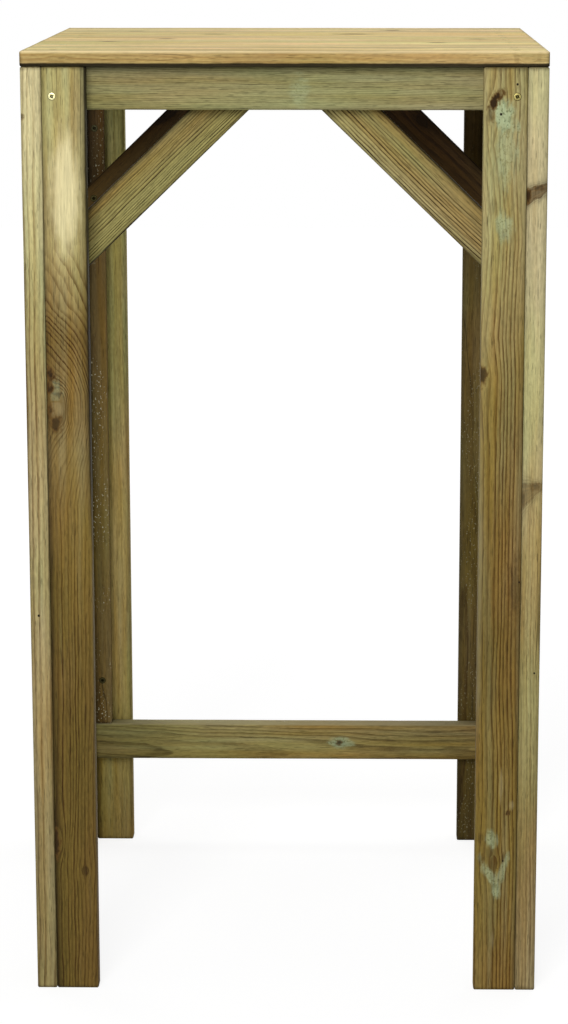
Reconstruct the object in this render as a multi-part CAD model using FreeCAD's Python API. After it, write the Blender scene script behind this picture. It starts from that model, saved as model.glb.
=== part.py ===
import FreeCAD, Part
import math
import os

# A square bar table of sawn softwood. Lengths are in millimetres. X runs to the right,
# Y to the back and Z up, and the origin is on the floor under the middle of the top.
table_width = 600.0
table_depth = 600.0
table_height = 1120.0

# Top boards run from side to side, with an even gap between them.
top_board_count = 5
top_board_thickness = 18.0
top_board_gap = 3.0
top_edge_round = 3.0

# Every board of the frame is sawn from stock of one thickness.
board_thickness = 24.0
edge_round = 3.0

# Each leg is an angle of two boards: the side board is the outer one, and the face board
# lies beside its edge. A square batten fills the inner corner of the angle.
side_board_width = 74.0
face_board_width = 50.0

# Aprons under the top, and one stretcher between the back legs.
apron_height = 50.0
stretcher_height = 50.0
stretcher_rise = 124.0

# Four braces of one shape. The front pair hangs a little lower than the back pair.
brace_width = 48.0
brace_slope_degrees = 44.0
brace_toe_gap = 20.0
front_brace_drop = 21.0
back_brace_drop = 1.0

# Countersunk screws in two lengths. The cone of the head has straight sides at 45 degrees.
# Screws and their holes have a few flat sides, because there are many of them.
long_screw_length = 40.0
short_screw_length = 35.0
head_diameter = 9.0
shank_diameter = 4.5
tip_length = 5.0
tip_diameter = 1.5
screw_sides = 8

screw_lengths = {
    "top_screws": short_screw_length,
    "face_board_screws": long_screw_length,
    "side_board_screws": long_screw_length,
    "apron_screws": short_screw_length,
    "batten_screws": short_screw_length,
    "brace_screws": short_screw_length,
    "stretcher_screws": long_screw_length,
}

# How far a head lies under the wood, the room around a screw in its hole, and how far a
# cutter starts outside the face that it cuts.
screw_sink = 0.3
screw_clearance = 0.3
cut_overrun = 2.0

# Where screws stand along or down the piece that they pass through, as shares of its size.
top_screw_shares = (0.25, 0.75)
face_screw_share = 0.66
side_screw_share = 0.45
apron_screw_share = 0.5
batten_to_face_shares = (0.07, 0.93)
batten_to_side_shares = (0.12, 0.88)
brace_screw_shares = (0.33, 0.67)
stretcher_screw_shares = (0.3, 0.7)

# Planes of the frame, measured from the middle of the table.
half_width = table_width / 2
half_depth = table_depth / 2
leg_top = table_height - top_board_thickness
top_board_width = (table_depth - top_board_gap * (top_board_count - 1)) / top_board_count
side_board_inner = half_width - board_thickness
side_apron_inner = side_board_inner - board_thickness
face_board_inner = half_depth - board_thickness
apron_inner = face_board_inner - board_thickness
brace_inner = apron_inner - board_thickness
face_board_edge = side_board_inner - face_board_width
side_board_edge = half_depth - side_board_width
apron_bottom = leg_top - apron_height
stretcher_top = stretcher_rise + stretcher_height
corner_x = (side_board_inner + side_apron_inner) / 2
corner_y = (face_board_inner + apron_inner) / 2

SIDES = {"left": -1, "right": 1}
ENDS = {"front": -1, "back": 1}
UP = FreeCAD.Vector(0, 0, 1)
parallel_angle = 0.001


def span(side, inner, outer):
    """The range between two distances on one side of the middle, lower value first."""
    return tuple(sorted((side * inner, side * outer)))


def along(share, low, high):
    """The place between low and high that a share gives."""
    return low + share * (high - low)


def rounded(solid, direction, radius):
    """The solid with each straight edge that runs along direction rounded."""
    edges = []
    for edge in solid.Edges:
        run = edge.Vertexes[-1].Point - edge.Vertexes[0].Point
        if min(run.getAngle(direction), run.getAngle(-direction)) < parallel_angle:
            edges.append(edge)
    return solid.makeFillet(radius, edges)


def board(x_range, y_range, z_range, grain, radius):
    """A board between three ranges, with the edges along its grain rounded."""
    ranges = (x_range, y_range, z_range)
    low = FreeCAD.Vector(*[limits[0] for limits in ranges])
    sizes = [limits[1] - limits[0] for limits in ranges]
    return rounded(Part.makeBox(*sizes, low), grain, radius)


def top_board_fronts():
    """The front edge of each top board, from front to back."""
    return [-half_depth + index * (top_board_width + top_board_gap)
            for index in range(top_board_count)]


def top_board(front):
    """The top board whose front edge lies at front."""
    return board(
        (-half_width, half_width),
        (front, front + top_board_width),
        (leg_top, table_height), FreeCAD.Vector(1, 0, 0), top_edge_round)


def leg(end, side):
    """The three pieces of one leg, for its end and side of the table."""
    full_height = (0, leg_top)
    side_board = board(
        span(side, side_board_inner, half_width),
        span(end, side_board_edge, half_depth),
        full_height, UP, edge_round)
    face_board = board(
        span(side, face_board_edge, side_board_inner),
        span(end, face_board_inner, half_depth),
        full_height, UP, edge_round)
    corner_batten = board(
        span(side, side_apron_inner, side_board_inner),
        span(end, apron_inner, face_board_inner),
        (stretcher_top, apron_bottom), UP, edge_round)
    return {
        "side_board": side_board,
        "face_board": face_board,
        "corner_batten": corner_batten,
    }


def cross_apron(end):
    """The apron behind the face boards of one end, held between the side aprons."""
    return board(
        (-side_apron_inner, side_apron_inner),
        span(end, apron_inner, face_board_inner),
        (apron_bottom, leg_top), FreeCAD.Vector(1, 0, 0), edge_round)


def side_apron(side):
    """The apron of one side, which runs between the front and back face boards."""
    return board(
        span(side, side_apron_inner, side_board_inner),
        (-face_board_inner, face_board_inner),
        (apron_bottom, leg_top), FreeCAD.Vector(0, 1, 0), edge_round)


def stretcher():
    """The low rail against the back face boards, from side board to side board."""
    return board(
        (-side_board_inner, side_board_inner),
        (apron_inner, face_board_inner),
        (stretcher_rise, stretcher_top), FreeCAD.Vector(1, 0, 0), edge_round)


# Shape of a brace: its level head reaches almost to the middle of the table, and its foot
# is cut upright against the side board.
brace_rise = math.tan(math.radians(brace_slope_degrees))
brace_head_run = brace_width / math.sin(math.radians(brace_slope_degrees))
brace_drops = {"front": front_brace_drop, "back": back_brace_drop}


def brace_edges_at(distance, head):
    """Heights of a brace's lower and upper edge at a distance from the middle."""
    lower = head - (distance - brace_toe_gap / 2) * brace_rise
    return lower, lower + brace_head_run * brace_rise


def brace(end, side, head):
    """One brace, on the inner faces of its apron and of its corner batten."""
    foot_low, foot_high = brace_edges_at(side_board_inner, head)
    toe = brace_toe_gap / 2
    outline = [(toe, head), (side_board_inner, foot_low), (side_board_inner, foot_high),
               (toe + brace_head_run, head)]
    near, far = span(end, brace_inner, apron_inner)
    points = [FreeCAD.Vector(side * x, near, z) for x, z in outline]
    face = Part.Face(Part.makePolygon(points + points[:1]))
    blank = face.extrude(FreeCAD.Vector(0, far - near, 0))
    return rounded(blank, points[1] - points[0], edge_round)


def faceted(profile):
    """The upright solid through rings of a radius and a height each, with flat sides."""
    rings = []
    for radius, height in profile:
        ring = [FreeCAD.Vector(radius, 0, height)]
        for _ in range(screw_sides - 1):
            ring.append(FreeCAD.Rotation(UP, 360 / screw_sides).multVec(ring[-1]))
        rings.append(ring + ring[:1])
    outlines = [rings[0], rings[-1]]
    for upper, lower in zip(rings, rings[1:]):
        for side in range(screw_sides):
            outlines.append([upper[side], upper[side + 1], lower[side + 1], lower[side],
                             upper[side]])
    return Part.Solid(Part.Shell([Part.Face(Part.makePolygon(points)) for points in outlines]))


def screw(length):
    """A countersunk screw that points down, the top of its head at the origin."""
    head = head_diameter / 2
    shank = shank_diameter / 2
    return faceted([(head, 0), (shank, shank - head), (shank, tip_length - length),
                    (tip_diameter / 2, -length)])


def screw_hole(length):
    """The room for a screw: its countersink, opened beyond the wood, and a drilled hole."""
    head = head_diameter / 2 + screw_clearance
    shank = shank_diameter / 2 + screw_clearance
    return faceted([(head + cut_overrun, cut_overrun), (shank, shank - head),
                    (shank, -length - screw_clearance)])


def placed(shape, point, inward):
    """A copy of a downward shape, moved to point and turned to go inward."""
    copy = shape.copy()
    turn = FreeCAD.Rotation(-UP, inward)
    copy.Placement = FreeCAD.Placement(point + inward * screw_sink, turn)
    return copy


def top_screw_places():
    """Two screws through each end of each top board, down into a side apron."""
    return [(FreeCAD.Vector(side * corner_x, along(share, front, front + top_board_width),
                            table_height), -UP)
            for side in SIDES.values()
            for front in top_board_fronts()
            for share in top_screw_shares]


def leg_screw_places(end, side):
    """The screws at one leg, by group. Each has a place and the direction that it goes in."""
    outward_x = FreeCAD.Vector(side, 0, 0)
    outward_y = FreeCAD.Vector(0, end, 0)
    face_height = along(face_screw_share, leg_top, apron_bottom)
    side_height = along(side_screw_share, leg_top, apron_bottom)
    apron_screw_height = along(apron_screw_share, leg_top, apron_bottom)
    side_lap = (face_board_inner + side_board_edge) / 2
    apron_lap = (side_apron_inner + face_board_edge) / 2
    into_face_board = [
        (FreeCAD.Vector(side * corner_x, end * apron_inner,
                        along(share, stretcher_top, apron_bottom)), outward_y)
        for share in batten_to_face_shares]
    into_side_board = [
        (FreeCAD.Vector(side * side_apron_inner, end * corner_y,
                        along(share, stretcher_top, apron_bottom)), outward_x)
        for share in batten_to_side_shares]
    return {
        "face_board_screws": [
            (FreeCAD.Vector(side * corner_x, end * half_depth, face_height), -outward_y)],
        "side_board_screws": [
            (FreeCAD.Vector(side * half_width, end * side_lap, side_height), -outward_x)],
        "apron_screws": [
            (FreeCAD.Vector(side * apron_lap, end * apron_inner, apron_screw_height), outward_y)],
        "batten_screws": into_face_board + into_side_board,
    }


def brace_screw_places(end, side, head):
    """Two screws through the foot of a brace and two through its head."""
    foot_low, foot_high = brace_edges_at(corner_x, head)
    level = (apron_bottom + head) / 2
    lower_edge = brace_toe_gap / 2 + (head - level) / brace_rise
    places = []
    for share in brace_screw_shares:
        places.append((corner_x, along(share, foot_low, foot_high)))
        places.append((along(share, lower_edge, lower_edge + brace_head_run), level))
    return [(FreeCAD.Vector(side * distance, end * brace_inner, height),
             FreeCAD.Vector(0, end, 0)) for distance, height in places]


def stretcher_screw_places():
    """Two screws through each back face board into the end of the stretcher."""
    lap = (side_board_inner + face_board_edge) / 2
    return [(FreeCAD.Vector(side * lap, half_depth, along(share, stretcher_rise, stretcher_top)),
             FreeCAD.Vector(0, -1, 0))
            for side in SIDES.values()
            for share in stretcher_screw_shares]


def screw_places():
    """Every group of screws, as the place and direction of each screw."""
    groups = {"top_screws": top_screw_places(), "stretcher_screws": stretcher_screw_places()}
    for end_name, end in ENDS.items():
        head = leg_top - brace_drops[end_name]
        for side in SIDES.values():
            for name, places in leg_screw_places(end, side).items():
                groups.setdefault(name, []).extend(places)
            groups.setdefault("brace_screws", []).extend(brace_screw_places(end, side, head))
    return groups


def wooden_pieces():
    """Every wooden piece by name, before it is drilled."""
    pieces = {"stretcher_back": stretcher()}
    for index, front in enumerate(top_board_fronts()):
        pieces["top_board_%d" % (index + 1)] = top_board(front)
    for end_name, end in ENDS.items():
        pieces["apron_" + end_name] = cross_apron(end)
        for side_name, side in SIDES.items():
            corner = end_name + "_" + side_name
            pieces["brace_" + corner] = brace(end, side, leg_top - brace_drops[end_name])
            for piece_name, shape in leg(end, side).items():
                pieces["leg_" + corner + "_" + piece_name] = shape
    for side_name, side in SIDES.items():
        pieces["apron_" + side_name] = side_apron(side)
    return pieces


def drilled(piece, holes):
    """The piece cut by each hole that reaches it."""
    box = piece.BoundBox
    near = [hole for hole in holes if box.intersect(hole.BoundBox)]
    if not near:
        return piece
    return piece.cut(near)


def table():
    """Every piece of the table by name: the drilled wood and the groups of screws."""
    screws = {}
    holes = []
    for name, places in screw_places().items():
        length = screw_lengths[name]
        blank = screw(length)
        hole = screw_hole(length)
        screws[name] = Part.Compound([placed(blank, point, inward) for point, inward in places])
        holes += [placed(hole, point, inward) for point, inward in places]
    wood = {name: drilled(piece, holes) for name, piece in wooden_pieces().items()}
    return {**wood, **screws}


os.makedirs("parts", exist_ok=True)
for node_name, node_shape in table().items():
    node_shape.exportStep("parts/" + node_name + ".step")
    print(node_name, len(node_shape.Solids), "solids", round(node_shape.Volume), "mm3",
          "valid" if node_shape.isValid() else "NOT VALID")
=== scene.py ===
import math
import random

import bmesh
import bpy
from mathutils import Matrix, Vector, noise


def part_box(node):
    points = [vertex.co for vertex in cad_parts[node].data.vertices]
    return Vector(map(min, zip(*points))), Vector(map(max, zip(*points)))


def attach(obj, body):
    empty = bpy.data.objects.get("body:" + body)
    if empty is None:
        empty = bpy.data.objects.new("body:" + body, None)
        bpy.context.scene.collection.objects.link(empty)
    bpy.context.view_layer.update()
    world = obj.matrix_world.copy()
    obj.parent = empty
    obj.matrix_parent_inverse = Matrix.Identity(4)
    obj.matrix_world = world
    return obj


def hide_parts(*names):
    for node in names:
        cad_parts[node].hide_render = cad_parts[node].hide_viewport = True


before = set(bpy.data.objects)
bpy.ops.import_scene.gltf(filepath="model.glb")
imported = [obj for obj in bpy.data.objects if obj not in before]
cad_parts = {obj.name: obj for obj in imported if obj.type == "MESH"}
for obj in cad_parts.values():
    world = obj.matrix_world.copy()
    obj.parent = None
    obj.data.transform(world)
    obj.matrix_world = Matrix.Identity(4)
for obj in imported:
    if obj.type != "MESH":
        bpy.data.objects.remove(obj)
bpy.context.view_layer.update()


# ---- sizes, metres
ROW_STEP = 0.007
FLAT_STEP = 0.008
FINE_STEP = 0.0035
FEWEST_ROWS = 8
ARC_STEPS = 4
TOP_ROUND = 0.003
TOP_UNDER_ROUND = 0.0045
BOARD_ROUND = 0.0022
END_BEVEL = 0.0012
SMOOTH_ANGLE = math.radians(40)

# The slightly uneven faces of a board: depths, waves per metre, and how dents differ from waves.
WAVE_DEPTH = 0.0003
DENT_DEPTH = 0.0007
WAVES_ALONG = 9
WAVES_ACROSS = 60
WAVE_SEED = 17
DENT_SCALE = 3.1
DENT_START = 0.15

BRACE_WIDTH = 0.048
BRACE_SLOPE = math.radians(44)
BRACE_TOE = 0.01

# A screw: its head and neck as (radius, height) from the top, and its point.
HEAD_RADIUS = 0.0045
SHANK_RADIUS = 0.0021
HEAD_STEPS = 48
HEAD_PROFILE = [(0.002475, 0), (0.00378, 0), (HEAD_RADIUS, -0.00035), (HEAD_RADIUS, -0.0005),
                (SHANK_RADIUS, -0.0028)]
RIM_START = 0.00405
POINT_LENGTH = 0.004
POINT_RADIUS = 0.0005
POINT_GAP = 0.0002
# Its driver recess: a dimple (radius, height) and a cross (height, half length, half width).
DIMPLE_PROFILE = [(0.0021, 0.0005), (0.00189, -0.00088), (0.00063, -0.00242)]
DIMPLE_STEPS = 16
CROSS_ENDS = [(0.0006, 0.00299, 0.00072), (-0.0022, 0.001092, 0.00036)]
# Painted shade in the recess: its reach, the depth it starts at, and its share; the head's rim
# beyond RIM_START gets the full painted shade.
RECESS_RADIUS = 0.0026
RECESS_START = 0.0003
RECESS_SHADE = 0.72
# Its hole in the wood.
HOLE_CLEARANCE = 0.0001
HOLE_EDGE = 0.0004
CUT_OVERRUN = 0.002
JUST_INSIDE = 0.001


def colour(red, green, blue):
    """Linear colour from 0-255 display values."""
    values = []
    for channel in (red, green, blue):
        share = channel / 255
        values.append(share / 12.92 if share <= 0.04045 else ((share + 0.055) / 1.055) ** 2.4)
    return (*values, 1.0)


# ---- board shapes
class Board:
    """One board: a frame with u along the grain, v across the face, w through it."""

    def __init__(self, node):
        self.node = node
        low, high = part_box(node)
        size = high - low
        if node.startswith("brace"):
            self.from_brace(node, low, high)
        else:
            order = sorted(range(3), key=lambda axis: (-size[axis], axis))
            self.axes = [Vector([float(axis == k) for k in range(3)]) for axis in order]
            self.origin = (low + high) / 2
            self.half_v = size[order[1]] / 2
            self.half_w = size[order[2]] / 2
            half_u = size[order[0]] / 2
            self.start = (-half_u, 0.0)
            self.end = (half_u, 0.0)

    def from_brace(self, node, low, high):
        side = 1 if node.endswith("right") else -1
        cos, sin, tan = math.cos(BRACE_SLOPE), math.sin(BRACE_SLOPE), math.tan(BRACE_SLOPE)
        along = Vector((side * cos, 0, -sin))
        across = Vector((side * sin, 0, cos))
        head = Vector((side * BRACE_TOE, (low.y + high.y) / 2, high.z))
        reach = (max(abs(low.x), abs(high.x)) - BRACE_TOE) / cos
        self.half_v = BRACE_WIDTH / 2
        self.half_w = (high.y - low.y) / 2
        self.axes = [along, across, Vector((0, 1, 0))]
        self.origin = head + across * self.half_v
        self.start = (self.half_v / tan, 1 / tan)
        self.end = (reach - self.half_v * tan, -tan)

    def local(self, point):
        offset = Vector(point) - self.origin
        return [offset.dot(axis) for axis in self.axes]

    def place(self, u, v, w):
        return self.origin + self.axes[0] * u + self.axes[1] * v + self.axes[2] * w

    def holds(self, point, margin=0.0005):
        u, v, w = self.local(point)
        low = self.start[0] + self.start[1] * v - margin
        high = self.end[0] + self.end[1] * v + margin
        return low < u < high and abs(v) < self.half_v + margin and abs(w) < self.half_w + margin


def section(half_v, half_w, upper_radius, under_radius, flat_step):
    """The outline across the grain: (v, w, outward v, outward w), rounded at its corners."""
    points = []
    radii = (upper_radius, upper_radius, under_radius, under_radius)
    for quarter in range(4):
        turn = quarter * math.pi / 2
        radius = radii[quarter]
        sign_v = 1 if quarter in (0, 3) else -1
        sign_w = 1 if quarter in (0, 1) else -1
        centre_v, centre_w = sign_v * (half_v - radius), sign_w * (half_w - radius)
        for step in range(ARC_STEPS + 1):
            angle = turn + step / ARC_STEPS * math.pi / 2
            out = math.cos(angle), math.sin(angle)
            points.append((centre_v + radius * out[0], centre_w + radius * out[1], *out))
        run = 2 * (half_v if quarter in (0, 2) else half_w) - radius - radii[(quarter + 1) % 4]
        steps = max(1, round(run / flat_step))
        last = points[-1]
        for step in range(1, steps):
            move = step / steps * run
            points.append((last[0] + move * (-out[1]), last[1] + move * out[0], *out))
    return points


def board_mesh(board, radii, seed, fine):
    """The board as a closed mesh, softly uneven, always inside its exact outline."""
    outline = section(board.half_v, board.half_w, *radii, FINE_STEP if fine else FLAT_STEP)
    length = board.end[0] - board.start[0]
    rows = max(FEWEST_ROWS, round(length / (FINE_STEP if fine else ROW_STEP)))
    mesh = bmesh.new()
    rings = []
    for row in range(-1, rows + 2):
        share = min(max(row / rows, 0), 1)
        tip = row in (-1, rows + 1)
        ring = []
        for v, w, out_v, out_w in outline:
            inset, bevel = END_BEVEL, 0
            if not tip:
                spot = Vector((share * length * WAVES_ALONG + seed * WAVE_SEED,
                               v * WAVES_ACROSS, w * WAVES_ACROSS))
                wave = 0.5 + 0.5 * noise.noise(spot)
                corner = abs(out_v * out_w) * 2
                dent = max(0, noise.noise(spot * DENT_SCALE) - DENT_START) * corner
                inset, bevel = WAVE_DEPTH * wave + DENT_DEPTH * dent, END_BEVEL
            v_in, w_in = v - out_v * inset, w - out_w * inset
            low = board.start[0] + board.start[1] * v_in + bevel
            high = board.end[0] + board.end[1] * v_in - bevel
            ring.append(mesh.verts.new(board.place(low + (high - low) * share, v_in, w_in)))
        rings.append(ring)
    count = len(outline)
    for low, high in zip(rings, rings[1:]):
        for k in range(count):
            mesh.faces.new((low[k], low[(k + 1) % count], high[(k + 1) % count], high[k]))
    mesh.faces.new(rings[0][::-1])
    mesh.faces.new(rings[-1])
    bmesh.ops.recalc_face_normals(mesh, faces=mesh.faces)
    return as_object(mesh, board.node + "_dressed")


# ---- screws
def islands(mesh):
    """The separate shells of a mesh, each as its points."""
    where = [tuple(round(c, 6) for c in vertex.co) for vertex in mesh.vertices]
    near = {key: set() for key in where}
    for edge in mesh.edges:
        a, b = (where[k] for k in edge.vertices)
        near[a].add(b)
        near[b].add(a)
    found = []
    while near:
        wave, shell = [next(iter(near))], []
        while wave:
            key = wave.pop()
            if key in near:
                shell.append(Vector(key))
                wave += near.pop(key)
        found.append(shell)
    return found


# How much less the distance along a screw counts than the one across it, in finding its head.
AXIAL_DISCOUNT = 0.2


def screw_places(node):
    """(head centre, inward direction, length) of each screw in a CAD node."""
    places = []
    for shell in islands(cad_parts[node].data):
        low = Vector([min(p[k] for p in shell) for k in range(3)])
        high = Vector([max(p[k] for p in shell) for k in range(3)])
        axis = max(range(3), key=lambda k: high[k] - low[k])
        centre = (low + high) / 2
        widest = max(shell, key=lambda p: (p - centre).length
                     - abs(p[axis] - centre[axis]) * AXIAL_DISCOUNT)
        sign = 1 if widest[axis] > centre[axis] else -1
        head = centre.copy()
        head[axis] = high[axis] if sign > 0 else low[axis]
        inward = Vector((0, 0, 0))
        inward[axis] = -sign
        places.append((head, inward, high[axis] - low[axis]))
    return sorted(places, key=lambda place: tuple(place[0]))


def turned(profile, steps):
    """A closed bmesh turned about Z from (radius, z) points, from top to bottom."""
    mesh = bmesh.new()
    rings = []
    for radius, z in profile:
        rings.append([mesh.verts.new((radius * math.cos(2 * math.pi * k / steps),
                                      radius * math.sin(2 * math.pi * k / steps), z))
                      for k in range(steps)])
    for high, low in zip(rings, rings[1:]):
        for k in range(steps):
            mesh.faces.new((high[k], low[k], low[(k + 1) % steps], high[(k + 1) % steps]))
    mesh.faces.new(rings[0])
    mesh.faces.new(rings[-1][::-1])
    bmesh.ops.recalc_face_normals(mesh, faces=mesh.faces)
    return mesh


def cross_cutter():
    """A tapered cross with a dimple in its middle, its top just above the head."""
    mesh = turned(DIMPLE_PROFILE, DIMPLE_STEPS)
    for turn in (0, math.pi / 2):
        points = []
        for z, half_long, half_wide in CROSS_ENDS:
            for x, y in ((-1, -1), (1, -1), (1, 1), (-1, 1)):
                spot = Vector((x * half_long, y * half_wide, z))
                points.append(mesh.verts.new(Matrix.Rotation(turn, 3, "Z") @ spot))
        mesh.faces.new(points[:4])
        mesh.faces.new(points[4:][::-1])
        for k in range(4):
            mesh.faces.new((points[k], points[(k + 1) % 4], points[4 + (k + 1) % 4], points[4 + k]))
    bmesh.ops.recalc_face_normals(mesh, faces=mesh.faces)
    return mesh


def shown(name, data):
    """A new object in the scene."""
    piece = bpy.data.objects.new(name, data)
    bpy.context.scene.collection.objects.link(piece)
    return piece


def as_object(mesh, name):
    made = bpy.data.meshes.new(name)
    mesh.to_mesh(made)
    mesh.free()
    return shown(name, made)


def cut(piece, cutter, crossing=False):
    """Takes the cutter's space out of a piece. Crossing: the cutter's own parts overlap."""
    step = piece.modifiers.new("cut", "BOOLEAN")
    step.operation = "DIFFERENCE"
    step.solver = "EXACT"
    step.use_self = crossing
    step.object = cutter
    graph = bpy.context.evaluated_depsgraph_get()
    result = bpy.data.meshes.new_from_object(piece.evaluated_get(graph))
    piece.modifiers.clear()
    piece.data = result
    bpy.data.objects.remove(cutter)


def screw_master(length):
    """A countersunk screw with a driver recess, head centre at the origin, pointing down."""
    body = turned([*HEAD_PROFILE, (SHANK_RADIUS, POINT_LENGTH - length),
                   (POINT_RADIUS, POINT_GAP - length)], HEAD_STEPS)
    piece = as_object(body, "screw_master")
    cut(piece, as_object(cross_cutter(), "cross"), crossing=True)
    made = piece.data
    bpy.data.objects.remove(piece)
    # painted shade in the driver recess and on the head's outer rim
    recess_shades = []
    for vertex in made.vertices:
        out = vertex.co.xy.length
        in_recess = vertex.co.z < -RECESS_START and out < RECESS_RADIUS
        recess_shades.append(RECESS_SHADE if in_recess else float(out > RIM_START))
    made.attributes.new("recess", "FLOAT", "POINT").data.foreach_set("value", recess_shades)
    return made


def screw_turn(inward, spin):
    """The rotation that points a screw made pointing down along inward."""
    return inward.to_track_quat("-Z", "Y").to_matrix().to_4x4() @ Matrix.Rotation(spin, 4, "Z")


# How tarnished the screws are: drawn from a range, or given one by one.
TARNISH_RANGE = (0.2, 1)
TARNISH = {"face_board_screws": (0.0, 0.5, 0.9, 0.4)}


def screw_group(node, places, masters, chooser):
    """All screws of a CAD node as one mesh, each with its own tarnish."""
    mesh = bmesh.new()
    ages = TARNISH.get(node, ())
    for number, (head, inward, length) in enumerate(places):
        key = round(length, 3)
        if key not in masters:
            masters[key] = screw_master(length)
        single = masters[key].copy()
        spin, age = chooser.uniform(0, math.pi), chooser.uniform(*TARNISH_RANGE)
        if number < len(ages):
            age = ages[number]
        tarnish = single.attributes.new("tarnish", "FLOAT", "POINT")
        tarnish.data.foreach_set("value", [age] * len(single.vertices))
        single.transform(Matrix.Translation(head) @ screw_turn(inward, spin))
        mesh.from_mesh(single)
        bpy.data.meshes.remove(single)
    return as_object(mesh, node + "_dressed")


def hole_cutter(places):
    """The space that the given screws take up, a little wider and longer, as one object."""
    mesh = bmesh.new()
    outer = HEAD_RADIUS + HOLE_CLEARANCE
    inner = SHANK_RADIUS + HOLE_CLEARANCE
    for head, inward, length in places:
        shape = turned([(outer, CUT_OVERRUN), (outer, -HOLE_EDGE),
                        (inner, inner - outer - HOLE_EDGE), (inner, -length - CUT_OVERRUN)],
                       HEAD_STEPS)
        shape.transform(Matrix.Translation(head) @ screw_turn(inward, 0))
        single = bpy.data.meshes.new("hole")
        shape.to_mesh(single)
        shape.free()
        mesh.from_mesh(single)
        bpy.data.meshes.remove(single)
    return as_object(mesh, "holes")


# ---- marks in the wood
def knot(x, y, z, radius, stretch=1.5, narrowing=0.2, dark=0.7, tilt=0.0):
    """A knot: a point on it, its radius, its stretch along the grain, how it narrows through
    the board, how dark it is, and how it leans along the grain."""
    return {"point": (x, y, z), "radius": radius, "stretch": stretch, "narrowing": narrowing,
            "dark": dark, "tilt": tilt}


def stain(x, y, z, length, width, strength, tilt=0.0):
    """A mineral stain (mint, or blond where its strength is below zero) or a brown mark."""
    return {"point": (x, y, z), "length": length, "width": width, "strength": strength,
            "tilt": tilt}


def dot(x, y, z, radius=0.0015):
    """A small dark hole."""
    return stain(x, y, z, radius * 1.2, radius, 1.0)


FRONT = -0.3


def front(make, *rows):
    """Marks on the front of the table, from rows of x, z and what else make takes."""
    return [make(x, FRONT, z, *rest) for x, z, *rest in rows]


# In all tables a board goes by the start of its name.
LEFT_FACE, LEFT_SIDE = "leg_front_left_face", "leg_front_left_side"
RIGHT_FACE, RIGHT_SIDE = "leg_front_right_face", "leg_front_right_side"
KNOTS = {
    LEFT_FACE: front(
        knot, (-0.2665, 0.712, 0.012, 2.3, 0.1, 0), (-0.2755, 0.185, 0.009, 2.6, 0.2, -1),
        (-0.24, 0.148, 0.0035, 1.5, 0.2, 0.3)),
    LEFT_SIDE: [knot(-0.3, -0.262, 0.8, 0.008, 1.4), knot(-0.3, -0.24, 0.33, 0.006, 1.4)],
    RIGHT_FACE: front(
        knot, (0.24, 1.055, 0.009, 1.8, 0.2, -1), (0.2285, 0.748, 0.008, 2, 0.2, -1),
        (0.248, 0.16, 0.006, 2, 0.2, -1)),
    RIGHT_SIDE: [
        knot(0.288, FRONT + 0.003, 0.961, 0.008, 1, -0.2, dark=0.75, tilt=0.46),
        knot(0.288, FRONT + 0.003, 0.613, 0.0105, 1, -0.6, dark=0.3, tilt=0.52)],
    "stretcher": [knot(0.0627, 0.252, 0.148, 0.005, 1.6, dark=0.8)],
    "top_board_1": [
        knot(-0.252, -0.296, 1.12, 0.007, 1.2, 0.1, -0.3, 0.5),
        knot(0.2545, -0.296, 1.12, 0.0075, 1.2, 0.1, -0.3, -0.5),
        knot(0.286, -0.297, 1.12, 0.005, 1.2, 0.1, -0.3, -0.5)],
}
KNOTLESS = ("apron_front", "brace_front", "leg_back_left", "leg_back_right_face",
            "leg_back_right_corner")
STAINS = {
    RIGHT_FACE: front(
        stain, (0.248, 1.046, 0.027, 0.0155, 1, -0.2), (0.2515, 0.921, 0.023, 0.012, 0.6),
        (0.252, 1.008, 0.042, 0.013, 0.5), (0.2455, 0.19, 0.012, 0.0085, 0.6),
        (0.2435, 0.146, 0.022, 0.007, 0.65, -0.5), (0.2585, 0.15, 0.024, 0.005, 0.5, 0.31),
        (0.252, 0.126, 0.014, 0.006, 0.65), (0.2562, 0.253, 0.026, 0.0034, -0.13),
        (0.269, 0.232, 0.008, 0.0038, -0.15), (0.2479, 0.064, 0.016, 0.003, -0.1)),
    LEFT_FACE: front(
        stain, (-0.265, 0.733, 0.018, 0.008, 0.3), (-0.2645, 0.709, 0.013, 0.0085, -0.1),
        (-0.251, 0.958, 0.08, 0.019, -0.8)),
    "stretcher": [stain(0.0627, 0.252, 0.148, 0.018, 0.009, 0.65)],
    "apron_front": [stain(0.0173, -0.276, 1.0717, 0.012, 0.02, 0.35)],
}
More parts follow.
